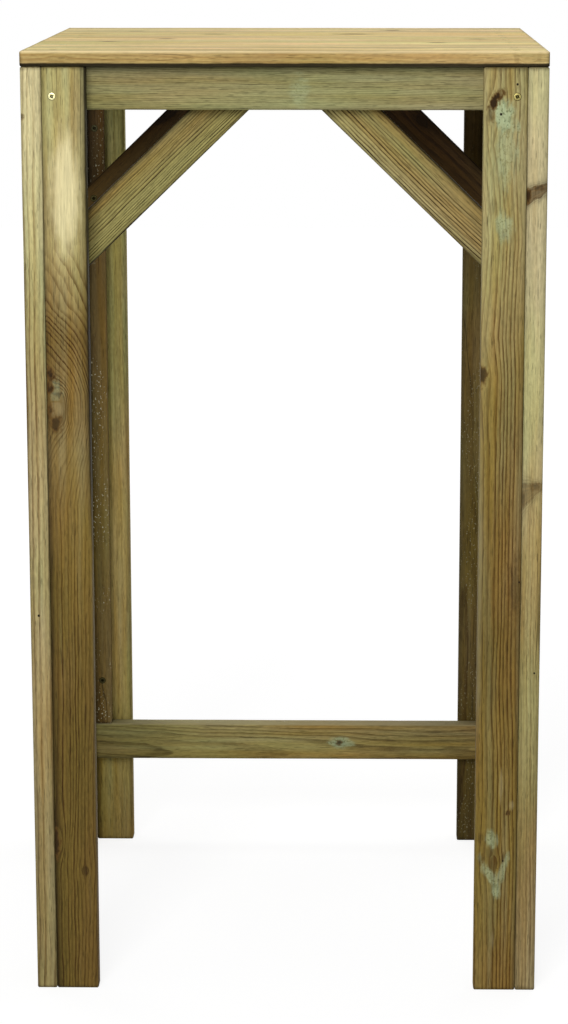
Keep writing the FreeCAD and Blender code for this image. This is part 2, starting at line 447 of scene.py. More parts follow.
MARKS = {
    "top_board_1": front(
        stain, (0.262, 1.1115, 0.0036, 0.01, 0.24), (0.2885, 1.1115, 0.0034, 0.009, 0.16)),
    LEFT_FACE: front(
        stain, (-0.2708, 0.748, 0.013, 0.007, 1, -0.15), (-0.2712, 0.734, 0.01, 0.0058, 1),
        (-0.2745, 0.182, 0.026, 0.006, 0.85), (-0.266, 0.6925, 0.012, 0.009, 0.8),
        (-0.2725, 0.709, 0.013, 0.0048, 0.85)),
    LEFT_SIDE: front(stain, (-0.2985, 1.0459, 0.005, 0.005, 0.7)),
    "stretcher": [stain(0.061, 0.252, 0.148, 0.006, 0.0045, 0.8)],
    RIGHT_FACE: front(
        stain, (0.2425, 1.07, 0.0095, 0.007, 1, 0.35), (0.2365, 1.061, 0.0105, 0.0062, 1, 0.3),
        (0.233, 1.048, 0.013, 0.0045, 0.5), (0.2504, 0.914, 0.006, 0.005, 0.25),
        (0.239, 0.945, 0.011, 0.006, 0.2), (0.2331, 0.19, 0.011, 0.004, 0.4),
        (0.26, 0.168, 0.009, 0.0035, 0.5), (0.2338, 0.166, 0.01, 0.0045, 0.4),
        (0.246, 0.172, 0.011, 0.012, 0.25), (0.2652, 0.2225, 0.0045, 0.004, 0.9),
        (0.269, 0.496, 0.045, 0.011, 0.4), (0.228, 0.748, 0.014, 0.007, 0.9)),
    RIGHT_SIDE: front(
        stain, (0.2772, 0.9555, 0.011, 0.0045, 1), (0.2905, 0.9665, 0.0045, 0.008, 0.6),
        (0.2775, 0.606, 0.013, 0.003, 0.45), (0.2915, 0.619, 0.006, 0.007, 0.5)),
}
DOTS = {
    LEFT_SIDE: front(dot, (-0.2899, 0.4625)),
    RIGHT_FACE: front(
        dot, (0.2455, 1.0493), (0.264, 1.083, 0.0013), (0.2742, 0.505, 0.0012),
        (0.2595, 0.163, 0.0012)),
    RIGHT_SIDE: front(dot, (0.2935, 0.395, 0.0011)),
}
# A mark nearer to a board's narrow side than this lies on that side.
FLANK_TOLERANCE = 0.001
# Boards whose painted shade lies only on the side towards the middle of the table.
LIGHT_OUTSIDE = ("leg_back_right_face", "brace_back")
OUTER_SKIN = 0.0015
# How strongly pale specks show, towards the middle of the table.
SPECKS = {LEFT_SIDE: 0.4, "leg_front_left_corner": 0.8, "leg_front_right_corner": 0.7,
          "leg_back_left_side": 0.8, "leg_back_right_side": 0.7, "leg_back_left_corner": 0.8,
          "leg_back_right_corner": 0.7, "leg_back_right_face": 0.25}


def even(low, high):
    """The same two values all along a board."""
    return [(0, low, high), (1, low, high)]


# Along a board: (share of its length, how dark the low end of v is, how dark the high end is),
# for the edges, then for the narrow sides and for the face beside them. Above zero is painted
# shade at rounded edges, between boards and on narrow sides turned from the lamps, with darker
# streaky wood beside the left front face's outer joint. Below zero is paler, a painted highlight.
PLAIN_EDGE = even(0.35, 0.35)
NO_SHADE = even(0, 0)
EDGES = {
    LEFT_FACE: [(0, 0.42, 0), (0.5, 0.42, 0.05), (0.6, 0.42, 0.42), (1, 0.42, 0.42)],
    RIGHT_FACE: [
        (0, 0.15, 0.25), (0.27, 0, 0.25), (0.34, -0.5, 0.25), (0.52, -0.6, 0.25),
        (0.6, -0.25, 0.25), (1, -0.15, 0.25)],
    LEFT_SIDE: even(0.25, 0.25), RIGHT_SIDE: even(0.2, 0.2),
    "leg_back_left_corner": even(0.35, 0), "apron_front": even(0.2, 0.2),
    "stretcher": even(0.35, 0), "top": even(-0.06, -0.06)}
FLANKS = {
    LEFT_FACE: [(0, 0, 0), (0.25, 0, -0.25), (0.46, 0, -0.25), (0.56, 0, 0.7), (1, 0, 0.8)],
    "brace_front": even(0.3, 0.75), "brace_back": even(0.3, 0.4), "stretcher": even(0, -0.55)}
SHADES = {LEFT_FACE: [(0, 0.5, 0.1), (0.5, 0.4, 0.15), (0.63, 0, 0.4), (1, 0, 0.4)]}
SHADE_WIDTH = 0.014
# Sideways drift of the ring lines: (share of the board's length, metres), less at the far edge.
DRIFT_MIDDLE = 0.85
DRIFT_FAN = 0.35
NO_DRIFT = [(0, 0), (1, 0)]
DRIFTS = {
    LEFT_FACE: [
        (0, 0.022), (0.54, 0.022), (0.58, 0.016), (0.63, 0), (0.66, 0.002), (0.7, 0.02),
        (0.75, 0.042), (0.81, 0.054), (1, 0.058)],
    RIGHT_FACE: [(0, 0), (0.6, 0), (0.72, 0.004), (0.82, -0.004), (0.92, 0.008), (1, 0.002)],
}
# Along each board: (share of its length, brightness, brownness, greenness, ring lines).
PLAIN_TONE = [(0, 0.62, 0.5, 0.2, 0.9), (1, 0.78, 0.3, 0.2, 0.9)]
TOP_TONE = [(0, 1, 0.05, 0.2, 1.2), (1, 1, 0.05, 0.1, 1.2)]
# Painted shade over browner wood for boards inside the frame, darker towards the top under the
# table top; the back brace is darkest at its upper end, in the painted shadow of the top and apron.
INNER_SHADE_TONE = [(0, 0.28, 0.8, 0.1, 0.9), (0.7, 0.24, 0.8, 0, 0.9),
             (0.9, 0.14, 0.8, -0.3, 0.9), (1, 0.08, 0.8, -0.4, 0.9)]
TOP_SHADOW_TONE = [(0, 0.05, 0.7, -0.7, 0.8), (0.5, 0.09, 0.8, -0.5, 0.8), (1, 0.12, 0.8, -0.3, 0.8)]
TONES = {
    LEFT_SIDE: [
        (0, 0.48, 0.5, 0.1, 0.9), (0.2, 0.45, 0.5, 0.1, 0.9), (0.4, 0.61, 0.4, 0.1, 0.9),
        (0.55, 0.63, 0.4, 0.1, 0.9), (0.7, 0.58, 0.25, 0.1, 1.1), (0.87, 0.82, 0, 0.2, 0.7),
        (1, 0.86, -0.1, 0.1, 0.5)],
    LEFT_FACE: [
        (0, 0.26, 1.1, 0, 1.2), (0.3, 0.25, 1.2, 0, 1.4), (0.44, 0.295, 1.05, 0, 1.1),
        (0.6, 0.38, 0.65, 0.2, 0.5), (0.65, 0.36, 0.8, 0.1, 1.3), (0.72, 0.29, 0.95, 0.1, 1.6),
        (0.76, 0.44, 0.65, 0.1, 1.3), (0.81, 0.6, 0.45, 0.1, 0.7), (0.86, 0.61, 0.45, 0.1, 0.3),
        (0.95, 0.67, 0.4, 0.1, 0.25), (1, 0.63, 0.4, 0.1, 0.25)],
    RIGHT_FACE: [
        (0, 0.38, 0.95, 0.1, 1.2), (0.4, 0.31, 0.9, 0, 1.3), (0.65, 0.41, 0.8, 0.1, 1.3),
        (0.8, 0.56, 0.5, 0.2, 0.9), (0.9, 0.6, 0.35, 0.2, 0.7), (1, 0.52, 0.5, 0.2, 0.8)],
    RIGHT_SIDE: [
        (0, 0.45, 0.5, 0, 0.9), (0.2, 0.46, 0.6, 0, 0.8), (0.5, 0.54, 0.45, 0, 0.5),
        (0.6, 0.66, 0.15, 0, 0.2), (1, 0.68, 0, 0, 0.15)],
    "leg_back_left_face": [
        (0, 0.53, 0.8, 0.4, 0.6), (0.1, 0.6, 0.7, 0.5, 0.4), (0.4, 0.73, 0.65, 0.6, 0.4),
        (1, 0.83, 0.45, 0.7, 0.5)],
    # painted shade inside the frame, over browner wood
    "leg_back_right_face": [
        (0, 0.105, 0.95, 0.4, 0.9), (0.06, 0.125, 0.95, 0.4, 0.9), (0.1, 0.155, 0.9, 0.3, 0.9),
        (0.22, 0.185, 0.9, 0.3, 0.9), (0.28, 0.225, 0.8, 0.3, 0.9), (0.43, 0.19, 0.9, 0.2, 0.9),
        (0.52, 0.235, 0.8, 0.2, 0.9), (0.65, 0.27, 0.8, 0.1, 0.9), (0.84, 0.155, 0.8, 0, 0.9),
        (1, 0.08, 0.8, -0.4, 0.9)],
    "brace_back": TOP_SHADOW_TONE, "leg_front_left_corner": INNER_SHADE_TONE,
    "leg_front_right_corner": INNER_SHADE_TONE, "leg_back_right_corner": INNER_SHADE_TONE,
    # painted shade inside the frame, darkest near the top
    "leg_back_left_corner": [
        (0, 0.19, 0.8, 0.1, 0.9), (0.08, 0.26, 0.8, 0.2, 0.9), (0.3, 0.27, 0.8, 0.2, 0.9),
        (0.56, 0.27, 0.8, 0.1, 0.9), (0.7, 0.22, 0.8, 0, 0.9), (0.86, 0.11, 0.8, -0.4, 0.9),
        (0.93, 0.12, 0.8, -0.3, 0.9), (1, 0.1, 0.8, -0.3, 0.9)],
    "apron_front": [(0, 0.47, 0.2, 0.3, 0.5), (1, 0.47, 0.2, 0.3, 0.5)],
    "stretcher": [
        (0, 0.4, 0.5, 0.3, 0.6), (0.12, 0.48, 0.5, 0.3, 0.7), (0.22, 0.66, 0.5, 0.2, 0.8),
        (0.5, 0.56, 0.6, 0.1, 0.9), (0.8, 0.46, 0.7, 0.1, 0.9), (1, 0.37, 0.8, -0.1, 0.8)],
    "top_board_1": [(0, 1.08, 0.05, 0.2, 1), (0.5, 0.9, 0.35, 0.1, 1), (1, 1, 0.05, 0.1, 1)],
    "brace_front_left": [(0, 0.49, 0.45, 0.2, 1), (1, 0.52, 0.45, 0.2, 1)],
    "brace_front_right": [(0, 0.53, 0.4, 0.2, 1), (1, 0.58, 0.4, 0.3, 1)],
}
# Change of brightness, brownness and ring lines towards each board's far edge.
NO_SLOPE = (0, 0, 0)
SLOPES = {"brace_front_left": (-0.08, 0.15, -0.4), "brace_front_right": (-0.05, 0.15, -0.3),
          "leg_back_left_corner": (0.1, 0, 0)}
# The tree's heart from each board's middle (across, through), the ring width and the lean.
HEARTS = {
    LEFT_FACE: (0.11, 0.04, 0.0027, 0.004),
    LEFT_SIDE: (0.02, 0.07, 0.0045, 0.006),
    RIGHT_FACE: (-0.07, 0.03, 0.0038, 0.004),
    RIGHT_SIDE: (0.03, -0.09, 0.003, 0.004),
    "apron_front": (0.07, 0.02, 0.0022, 0.002),
    "stretcher": (-0.012, 0.045, 0.003, 0.012),
    "brace_front_left": (0.08, 0.02, 0.0028, 0.004),
    "brace_front_right": (0.08, 0.03, 0.003, 0.004),
}
FAMILIES = {"top_board": "top_wood", "leg": "leg_wood", "apron": "rail_wood",
            "stretcher": "rail_wood", "brace": "brace_wood"}
# What is drawn at random for boards that the photograph doesn't show: places are shares of the
# knots' spacing and of the half width, and no knot's radius is over the largest share of that.
BOARD_SEED = 1000
SEED_STEP = 0.37
SCREW_SEED = 7
KNOT_SPACING = 0.3
KNOT_ALONG = (0.2, 0.8)
KNOT_ASIDE = (-0.8, 0.8)
KNOT_RADII = (0.003, 0.009)
LARGEST_SHARE = 0.4
KNOT_STRETCH = (1.2, 1.9)
KNOT_NARROWING = (-0.3, 0.3)
TONE_RANGES = ((-0.06, 0.06), (-0.1, 0.2), (0, 0.3))
HEART_ACROSS = (-0.03, 0.03)
HEART_THROUGH = (0.03, 0.07)
RING_WIDTHS = (0.0028, 0.0042)
RING_LEANS = (0.002, 0.01)


def look(table, node, default=None):
    """The table's entry for a board, by the start of its name."""
    return next((table[start] for start in table if node.startswith(start)), default)


def value_along(table, share):
    for low, high in zip(table, table[1:]):
        if share <= high[0]:
            part = max(0, share - low[0]) / (high[0] - low[0])
            return [a + (b - a) * part for a, b in zip(low[1:], high[1:])]
    return list(table[-1][1:])


def seeded_knots(board, chooser):
    """Knots for a board whose marks the photograph doesn't show."""
    length = board.end[0] - board.start[0]
    count = int(length / KNOT_SPACING)
    knots = []
    for k in range(count):
        u = board.start[0] + length * (k + chooser.uniform(*KNOT_ALONG)) / count
        v = chooser.uniform(*KNOT_ASIDE) * board.half_v
        radius = min(chooser.uniform(*KNOT_RADII), board.half_v * LARGEST_SHARE)
        knots.append(knot(*board.place(u, v, 0), radius, chooser.uniform(*KNOT_STRETCH),
                          chooser.uniform(*KNOT_NARROWING)))
    return knots


# A place far off every mark, in the marks' own sizes, and where one knot hands over to the next.
FAR = 9
SMALLEST_KNOT = 0.001
HANDOVER_START = 0.25
HANDOVER_SPAN = 0.3
TINY = 1e-9


def nearness(distance, next_distance):
    """1 near a knot, 0 well before the place where the next one takes over."""
    share = (next_distance - distance) / (next_distance + distance + TINY)
    return min(1, max(0, share - HANDOVER_START) / HANDOVER_SPAN)


def nearest_knot(knots, u, v, w, half_w):
    """(along, across, radius, how far it counts here) for the nearest knot, and how dark it is."""
    near = []
    for item in knots:
        knot_u, knot_v, knot_w = item["local"]
        radius = item["radius"] * (1 + item["narrowing"] * w / half_w)
        along = (u - knot_u - item["tilt"] * (w - knot_w)) / item["stretch"]
        across = v - knot_v
        near.append((math.hypot(along, across), along / radius, across / radius, radius,
                     item["dark"]))
    if not near:
        return (FAR, FAR, SMALLEST_KNOT, 0), 0
    near.sort(key=lambda place: place[0])
    distance, along, across, radius, dark = near[0]
    count = nearness(distance, near[1][0]) if len(near) > 1 else 1.0
    return (along, across, radius, count), dark


def patch_place(patch, u, v, w):
    """Place in a patch's own sizes along, across and into the board, or None on its other side."""
    patch_u, patch_v, patch_w = patch["local"]
    if patch["on_flank"]:
        across, inwards, facing = w - patch_w, v - patch_v, v * patch_v
    else:
        across, inwards, facing = v - patch_v, 0, w * patch_w
    if facing <= 0:
        return None
    along = u - patch_u
    return (along / patch["length"], (across - patch["tilt"] * along) / patch["width"],
            inwards / patch["width"])


def nearest_dot(dots, u, v, w):
    """Place relative to the nearest dot, in its radii, and its strength here."""
    best, nearest = (FAR, FAR, 0), FAR
    for small in dots:
        place = patch_place(small, u, v, w)
        if place and math.hypot(*place) < nearest:
            best, nearest = (*place[:2], small["strength"]), math.hypot(*place)
    return best


def deepest_patch(patches, u, v, w):
    """How deep a point lies in the patches (1 in a middle, 0 at a rim), and how strong it is."""
    depth, strength = -1.0, 0.0
    for patch in patches:
        place = patch_place(patch, u, v, w)
        if place and 1 - math.hypot(*place) > depth:
            depth, strength = 1 - math.hypot(*place), patch["strength"]
    return depth, strength


# A face that looks along the grain more than this is a sawn end.
END_FACING = 0.5
# An attribute's type and the field for its values, by how many numbers it keeps at a point.
KINDS = {1: ("FLOAT", "value"), 3: ("FLOAT_VECTOR", "vector"), 4: ("FLOAT_COLOR", "color")}


def write_marks(board, mesh, index):
    """Keeps on the mesh what the wood material needs to know at each point."""
    chooser = random.Random(BOARD_SEED + index)
    node = board.node
    knots = look(KNOTS, node)
    if knots is None:
        knots = [] if node.startswith(KNOTLESS) else seeded_knots(board, chooser)
    stains, blots, dots = (look(table, node, []) for table in (STAINS, MARKS, DOTS))
    for item in knots + stains + blots + dots:
        item["local"] = board.local(item["point"])
        item["on_flank"] = abs(item["local"][1]) > board.half_v - FLANK_TOLERANCE
    tones = look(TONES, node)
    if tones is None:
        plain = TOP_TONE if node.startswith("top") else PLAIN_TONE
        lift, more_brown, more_green = (chooser.uniform(*limits) for limits in TONE_RANGES)
        tones = [(share, bright + lift, brown + more_brown, green + more_green, lines)
                 for share, bright, brown, green, lines in plain]
    side = chooser.choice((-1, 1))
    heart = look(HEARTS, node) or (
        chooser.uniform(*HEART_ACROSS), side * chooser.uniform(*HEART_THROUGH),
        chooser.uniform(*RING_WIDTHS), chooser.uniform(*RING_LEANS))
    length = board.end[0] - board.start[0]
    slope, drifts = look(SLOPES, node, NO_SLOPE), look(DRIFTS, node, NO_DRIFT)
    edges, flanks = look(EDGES, node, PLAIN_EDGE), look(FLANKS, node, NO_SHADE)
    shades, specks = look(SHADES, node, NO_SHADE), look(SPECKS, node, 0)
    light_outside = node.startswith(LIGHT_OUTSIDE)
    inward = Vector((-board.origin.x, -board.origin.y, 0))
    inner_side = 1 if board.axes[2].dot(inward) > 0 else -1
    kept = {}
    for vertex in mesh.vertices:
        u, v, w = board.local(vertex.co)
        share = (u - board.start[0]) / length
        aside = v / board.half_v
        outside = light_outside and w * inner_side < OUTER_SKIN - board.half_w
        speckled = not outside and (vertex.co - board.origin).dot(inward) > 0
        place, dark = nearest_knot(knots, u, v, w, board.half_w)
        bright, brown, green, lines = value_along(PLAIN_TONE if outside else tones, share)
        bright += slope[0] * aside
        # painted shade on the face beside its edges
        for shade, inset in zip(value_along(shades, share), (board.half_v + v, board.half_v - v)):
            bright *= 1 - shade * max(0, 1 - inset / SHADE_WIDTH)
        tip = min(u - board.start[0] - board.start[1] * v, board.end[0] + board.end[1] * v - u)
        end = 0 if v < 0 else 1
        for name, values in {
                "grain": (u, v, w),
                "heart": heart,
                "knot": place,
                "kind": (dark, specks * speckled, 0),
                "stain": (*deepest_patch(stains, u, v, w), 0, lines + slope[2] * aside),
                "mark": (*deepest_patch(blots, u, v, w), 0),
                "dot": nearest_dot(dots, u, v, w),
                "tone": (bright, brown + slope[1] * aside, green, index * SEED_STEP),
                "rim": (board.half_v - abs(v), board.half_w - abs(w), tip),
                "drift": (value_along(drifts, share)[0] * (DRIFT_MIDDLE - DRIFT_FAN * aside),),
                "edge": (*(value_along(table, share)[end] for table in (edges, flanks)), 0),
        }.items():
            kept.setdefault(name, []).extend(values)
    for name, values in kept.items():
        kind, field = KINDS[len(values) // len(mesh.vertices)]
        mesh.attributes.new(name, kind, "POINT").data.foreach_set(field, values)
    ends = [float(abs(face.normal.dot(board.axes[0])) > END_FACING) for face in mesh.polygons]
    mesh.attributes.new("cut_end", "FLOAT", "FACE").data.foreach_set("value", ends)


# ---- node arithmetic
class Field:
    """A node output that can be added, multiplied and so on, each making a node."""

    def __init__(self, net, socket):
        self.net, self.socket = net, socket

    def __add__(self, other):
        return self.net.math("ADD", self, other)

    def __sub__(self, other):
        return self.net.math("SUBTRACT", self, other)

    def __rsub__(self, other):
        return self.net.math("SUBTRACT", other, self)

    def __mul__(self, other):
        return self.net.math("MULTIPLY", self, other)

    def __truediv__(self, other):
        return self.net.math("DIVIDE", self, other)

    __radd__, __rmul__ = __add__, __mul__


class Net:
    """The nodes of one material, or of the world."""

    def __init__(self, owner):
        owner.use_nodes = True
        self.owner = owner
        self.tree = owner.node_tree
        self.tree.nodes.clear()

    def node(self, kind, inputs=(), **settings):
        node = self.tree.nodes.new(kind)
        for key, value in settings.items():
            setattr(node, key, value)
        for key, value in dict(inputs).items():
            self.put(node.inputs[key], value)
        return node

    def put(self, socket, value):
        if isinstance(value, Field):
            self.tree.links.new(value.socket, socket)
        else:
            socket.default_value = value

    def field(self, kind, inputs=(), output=0, **settings):
        """A new node's output, as a value to go on with."""
        return Field(self, self.node(kind, inputs, **settings).outputs[output])

    def math(self, operation, *values, clamp=False):
        return self.field("ShaderNodeMath", enumerate(values), operation=operation, use_clamp=clamp)

    def read(self, name):
        return self.field("ShaderNodeAttribute", output="Fac", attribute_name=name)

    def split(self, vector):
        node = self.node("ShaderNodeSeparateXYZ", {0: vector})
        return [Field(self, output) for output in node.outputs]

    def parts(self, name):
        """An attribute's three numbers and, where it is a colour, its fourth."""
        node = self.node("ShaderNodeAttribute", attribute_name=name)
        return [*self.split(Field(self, node.outputs["Vector"])),
                Field(self, node.outputs["Alpha"])]

    def position(self):
        return self.split(self.field("ShaderNodeNewGeometry", output="Position"))

    def noise(self, x, y, z, detail=2.0, rough=0.5):
        place = self.field("ShaderNodeCombineXYZ", enumerate((x, y, z)))
        return self.field("ShaderNodeTexNoise", {"Vector": place, "Scale": 1.0, "Detail": detail,
                                                 "Roughness": rough})

    def random(self, value):
        return self.field("ShaderNodeTexWhiteNoise", {"W": value}, "Value", noise_dimensions="1D")

    def smooth(self, value, low, high):
        return self.field("ShaderNodeMapRange", {"Value": value, "From Min": low, "From Max": high},
                          interpolation_type="SMOOTHSTEP")

    def within(self, value, low, high):
        """1 below low, 0 above high."""
        return 1.0 - self.smooth(value, low, high)

    def above(self, value):
        """The value where it is above zero, else zero."""
        return self.math("MAXIMUM", value, 0.0)

    def mix(self, share, first, second, blend="MIX"):
        return self.field("ShaderNodeMix", {0: share, 6: first, 7: second}, 2, data_type="RGBA",
                          blend_type=blend)

    def dyed(self, share, tint, dye):
        return self.mix(share, tint, self.mix(1.0, tint, dye, "MULTIPLY"))

    def shaded(self, share, tint, dark):
        """Painted shade where dark is above zero, painted highlight where it is below."""
        tint = self.scaled(tint, 1.0 - share * self.above(dark))
        return self.mix(share * self.above(dark * -1.0), tint, PALE)

    def length(self, a, b):
        return self.math("SQRT", a * a + b * b)

    def scaled(self, tint, factor):
        return self.field("ShaderNodeVectorMath", {0: tint, "Scale": factor}, operation="SCALE")

    def bump(self, height, distance):
        return self.field("ShaderNodeBump", {"Height": height, "Distance": distance,
                                             "Strength": 1.0})

    def seen(self):
        """1 for the camera's own rays and for mirrored and transmitted ones."""
        path = self.node("ShaderNodeLightPath")
        camera_ray, glossy_ray, through_ray = (Field(self, path.outputs[name]) for name in (
            "Is Camera Ray", "Is Glossy Ray", "Is Transmission Ray"))
        return self.math("MAXIMUM", camera_ray, self.math("MAXIMUM", glossy_ray, through_ray))

    def finish(self, shader, kind="ShaderNodeOutputMaterial"):
        self.node(kind, {"Surface": shader})
        return self.owner


# ---- materials
# The ring colours and their contrast. For the top also the tint of its narrow sides, how strong
# the painted shade on their lower rim is, and how strongly its boards are banded.
WOODS = {
    "top_wood": {"early": colour(226, 206, 158), "late": colour(170, 136, 82), "contrast": 0.7,
                 "edge": (0.66, 0.61, 0.47, 1), "under_shade": 0.93, "bands": 1.7},
    "leg_wood": {"early": colour(218, 210, 160), "late": colour(126, 98, 48), "contrast": 0.9},
    "rail_wood": {"early": colour(206, 200, 148), "late": colour(90, 74, 40), "contrast": 0.95},
    "brace_wood": {"early": colour(206, 194, 136), "late": colour(76, 58, 26), "contrast": 1.15},
}
KNOT_CORE = colour(132, 100, 52)
KNOT_RIM = colour(62, 34, 16)
BROWN = (0.86, 0.6, 0.26, 1)
PALE = colour(226, 214, 164)
# Painted highlight on the top boards' upper rims.
RIM_HIGHLIGHT = colour(246, 224, 170)
GREEN = (0.82, 0.96, 0.8, 1)
RED = (1.25, 0.74, 0.8, 1)
OLIVE = (0.95, 1.0, 0.86, 1)
TAN = (1.03, 0.96, 0.96, 1)
MINT = colour(168, 182, 142)
MINT_DARK = colour(86, 100, 68)
MARK_CORE = colour(46, 31, 11)
MARK_RIM = colour(94, 68, 30)
DOT = colour(24, 16, 8)
END_GRAIN = colour(140, 120, 70)
SPECK = colour(202, 198, 166)


# Noises in the wood: (waves per metre along the grain, waves across it, detail).
TEXTURES = {
    "bend": (1.6, 7, 2), "sway": (7, 26, 2), "quiver": (40, 220, 2),
    "broken": (26, 420, 2), "fibre": (22, 520, 3), "hair": (70, 2000, 1),
    "streak": (2.4, 85, 3), "grit": (150, 480, 1), "duct": (62, 900, 0),
    "cloud": (5, 22, 3), "check": (2.2, 48, 1), "checked": (3.4, 9, 2),
    "hue": (3.6, 18, 3), "stripe": (4, 75, 2), "patch": (3, 14, 2),
    "ragged": (90, 170, 3), "flecks": (300, 420, 1), "dusty": (9, 42, 2),
    "shade_wobble": (32, 90, 3), "blotch": (60, 130, 3), "drips": (12, 210, 1),
    "speckle": (330, 400, 2), "murky": (95, 140, 2), "crumb": (170, 300, 3),
}
# How far the ring lines wander from true circles, in metres.
RING_WANDER = {"bend": 0.02, "sway": 0.005, "quiver": 0.0011}
FINE_ROUGH = 0.65
SEED_SHIFT = 11.0
# How far in from an edge, a narrow side or a board's end the painted shade reaches, and the same
# for the top's lower rim shade and upper rim highlight, in metres.
ARRIS_REACH = (0.0005, 0.0075)
FLANK_REACH = (0.0004, 0.0026)
TIP_SHADE_REACH = (0.001, 0.005)
UNDER_SHADE_REACH = (-0.0056, -0.0036)
RIM_HIGHLIGHT_REACH = (0.0012, 0.0075)
DULL_SEAM = (0.006, 0.01)
DULL_SEAM_END = (0.012, 0.026)
SPECULAR_LEVEL = 0.1
GRAIN_BUMP = 0.0005


def wood(name, early, late, contrast, edge=(1, 1, 1, 1), under_shade=0, bands=0):
    net = Net(bpy.data.materials.new(name))
    length_u, v, w, _ = net.parts("grain")
    heart_v, heart_w, gap, lean = net.parts("heart")
    bright, brown, green, seed = net.parts("tone")
    knot_u, knot_o, knot_size, knot_count = net.parts("knot")
    knot_dark, specks, *_ = net.parts("kind")
    stain_depth, stain_strength, _, lines = net.parts("stain")
    mark_depth, mark_strength, *_ = net.parts("mark")
    side_v, side_w, tip, _ = net.parts("rim")
    edge_shade, flank_shade, *_ = net.parts("edge")
    dot_u, dot_v, dot_strength, _ = net.parts("dot")
    cut_end = net.read("cut_end")
    u = length_u + seed * SEED_SHIFT

    def texture(which, ahead=0.0, rough=0.5):
        along, across, detail = TEXTURES[which]
        place = u * along + ahead if ahead else u * along
        return net.noise(place, v * across, w * across, detail, rough)

    # the rings, pushed aside by knots
    q = net.length(knot_u, knot_o)
    push = net.math("DIVIDE", 1.0, net.math("MAXIMUM", net.math("POWER", q, 1.5), 1.0)) * knot_count
    across = v + net.read("drift") - knot_o * knot_size * push - heart_v
    through = w - heart_w
    depth = net.length(across, through)
    for wander, metres in RING_WANDER.items():
        depth = depth + (texture(wander) - 0.5) * metres
    depth = depth + length_u * lean
    spread = (net.noise(depth * 70.0, seed * 5.0, 0.0) - 0.5) * 2.4
    phase = depth / gap + spread
    strength = net.random(net.math("FLOOR", phase) + seed)
    part = net.math("FRACT", phase)
    broken = net.smooth(texture("broken"), 0.3, 0.62) * 0.5 + 0.5
    late_share = net.smooth(part, 0.36, 0.88) * net.within(part, 0.92, 1.0)
    late_share = late_share * (strength * 0.75 + 0.25) * broken * lines * contrast

    # fibres, streaks, resin ducts and drying checks
    fibre = texture("fibre", rough=FINE_ROUGH)
    streak = texture("streak")
    duct = net.smooth(texture("duct"), 0.68, 0.78)
    line = net.math("ABSOLUTE", texture("check") - 0.5)
    check = net.within(line, 0.002, 0.007) * net.smooth(texture("checked"), 0.56, 0.66)
    tint = net.mix(late_share, early, late)
    tint = net.scaled(tint, (fibre - 0.5) * 0.9 + (texture("grit") - 0.5) * 0.45
                      + (texture("hair") - 0.5) * 0.25 + (streak - 0.5) * 0.45
                      + (texture("cloud") - 0.5) * 0.5 + 1.0)
    tint = net.scaled(tint, 1.0 - duct * 0.34 - check * 0.45)
    if bands:
        band = net.noise(u * 1.1, v * 52.0, seed * 3.0, 3.0, FINE_ROUGH)
        tint = net.scaled(tint, (band - 0.5) * bands + 1.0)
    hue = net.smooth(texture("hue", 3.0), 0.34, 0.66)
    tint = net.mix(1.0, tint, net.mix(hue, OLIVE, TAN), "MULTIPLY")
    brown = net.math("ADD", brown, (texture("stripe", 9.0) - 0.5) * 1.3, clamp=True)
    tint = net.dyed(brown, tint, BROWN)
    patch = net.smooth(texture("patch", 5.0), 0.35, 0.65)
    tint = net.dyed(net.math("MULTIPLY", green, patch + 0.35, clamp=True), tint, GREEN)
    tint = net.dyed(net.math("MULTIPLY", green, -1.0, clamp=True), tint, RED)

    # knots
    ragged = (texture("ragged") - 0.5) * 1.1
    rim = q + ragged
    painted = net.smooth(knot_dark, -0.5, 0.0) * net.smooth(knot_count, 0.0, 0.2)
    inside = net.within(rim, 0.8, 1.1) * painted
    halo = net.within(rim, 1.0, 2.2) * painted
    circles = net.smooth(net.math("PINGPONG", q * 3.6 + ragged * 0.8, 0.5), 0.08, 0.42)
    arcs = circles * net.smooth(q + ragged * 0.5, 0.8, 1.0) * net.within(rim, 1.2, 1.9) * painted
    core = net.mix(circles * 0.4 + knot_dark * 0.5, KNOT_CORE, KNOT_RIM)
    core = net.scaled(core, net.noise(knot_u * 3.4, knot_o * 3.4, seed * 9.0, 3.0) * 1.9 + 0.1)
    tint = net.scaled(tint, 1.0 - halo * (knot_dark * 0.3 + 0.08) - arcs * 0.15)
    tint = net.mix(inside * (knot_dark * 0.6 + 0.25), tint, core)
    tint = net.mix(net.smooth(rim, 0.68, 0.92) * inside * (knot_dark * 0.5 + 0.1), tint, KNOT_RIM)

    # sawn ends, arrises, narrow sides and the board's own tone
    tint = net.mix(cut_end * 0.55, tint, END_GRAIN)
    shade_wobble = texture("shade_wobble")
    # painted shade at rounded edges, between boards and on narrow sides; painted highlight below
    # zero
    near_arris = net.within(net.math("MAXIMUM", side_v, side_w), *ARRIS_REACH)
    tint = net.shaded(near_arris * (1.5 - shade_wobble), tint, edge_shade)
    flank = net.within(side_v, *FLANK_REACH)
    tint = net.shaded(flank, net.dyed(flank, tint, edge), flank_shade)
    if under_shade:
        # painted shade along the lower rim of the top's narrow sides, where the edge turns under
        tint = net.scaled(tint, 1.0 - net.within(w + (shade_wobble - 0.5) * 0.002, *UNDER_SHADE_REACH) * under_shade)
        # painted highlight along the top boards' upper rims
        rim_highlight = net.within(side_v + side_w * 2.0, *RIM_HIGHLIGHT_REACH) * net.smooth(w, 0.0, 0.004)
        tint = net.mix(rim_highlight * (fibre * 0.6 + 0.5), tint, RIM_HIGHLIGHT)
        seam = net.smooth(side_v, *DULL_SEAM) * net.within(side_v, *DULL_SEAM_END)
        tint = net.scaled(tint, 1.0 - seam * 0.26)
    # painted shade at every board's ends: under the top and where the feet meet the floor
    tint = net.scaled(tint, 1.0 - net.within(tip + (shade_wobble - 0.5) * 0.006, *TIP_SHADE_REACH) * 0.35)
    tint = net.scaled(tint, bright)

